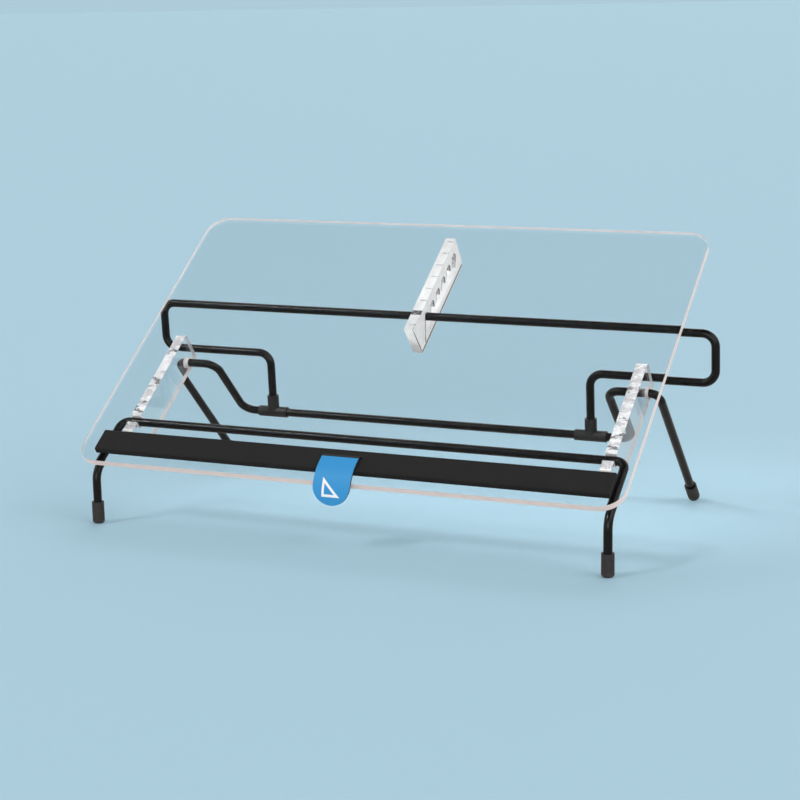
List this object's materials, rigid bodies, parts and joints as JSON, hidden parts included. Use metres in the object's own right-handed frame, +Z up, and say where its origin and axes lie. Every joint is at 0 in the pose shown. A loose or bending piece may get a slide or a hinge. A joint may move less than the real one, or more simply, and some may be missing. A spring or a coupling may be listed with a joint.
{
  "type": "portable drawing board",
  "caption": "Clear acrylic drawing board on a folding stand of bent black rod, with a notched rack under the sheet to set its slope, a black ledge strip and a blue tab.",
  "frame": {"origin": "on the table at the middle of the object's bounding box, which is the middle of the stand", "axes": "+X to the user's right along the rods, +Y from the user towards the raised back edge, +Z up"},
  "size_m": [0.5672, 0.2898, 0.2502],
  "materials": {
    "clear_acrylic": "clear, polished, with light edges",
    "clear_acrylic_plate": "clear, polished faces and edges",
    "milky_acrylic": "satin, milky",
    "black_rod": "gloss black coat over steel rod",
    "black_tee": "satin black",
    "foot_rubber": "matt black rubber",
    "ledge_rubber": "matt black",
    "tab_black": "matt black",
    "tab_blue": "satin blue face"
  },
  "bodies": {
    "board": {"sheet": "clear_acrylic", "notch_rack": "milky_acrylic", "plate_left": "clear_acrylic_plate", "plate_right": "clear_acrylic_plate", "ledge_strip": "ledge_rubber", "tab_backing": "tab_black", "tab_label": "tab_blue"},
    "front_leg": {"front_leg_rod": "black_rod", "cap_front_left": "foot_rubber", "cap_front_right": "foot_rubber"},
    "rear_leg": {"rear_leg_rod": "black_rod", "cap_rear_left": "foot_rubber", "cap_rear_right": "foot_rubber"},
    "support_loop": {"support_loop_rod": "black_rod", "tee_left": "black_tee", "tee_right": "black_tee"}
  },
  "joints": [
    {"name": "front_leg_fold", "type": "hinge", "parent": "board", "child": "front_leg", "pos_m": [0, -0.085, 0.08287], "axis": [1, 0, 0], "range_deg": [0, 120]},
    {"name": "rear_leg_fold", "type": "hinge", "parent": "board", "child": "rear_leg", "pos_m": [0, 0.00935, 0.12223], "axis": [1, 0, 0], "range_deg": [0, 44.5]},
    {"name": "support_loop_swing", "type": "hinge", "parent": "rear_leg", "child": "support_loop", "pos_m": [0, 0.06415, 0.06742], "axis": [1, 0, 0], "range_deg": [-70, 0]}
  ],
  "couplings": [
    {"joint": "support_loop_swing", "follows": "rear_leg_fold", "ratio": -1.5715}
  ]
}
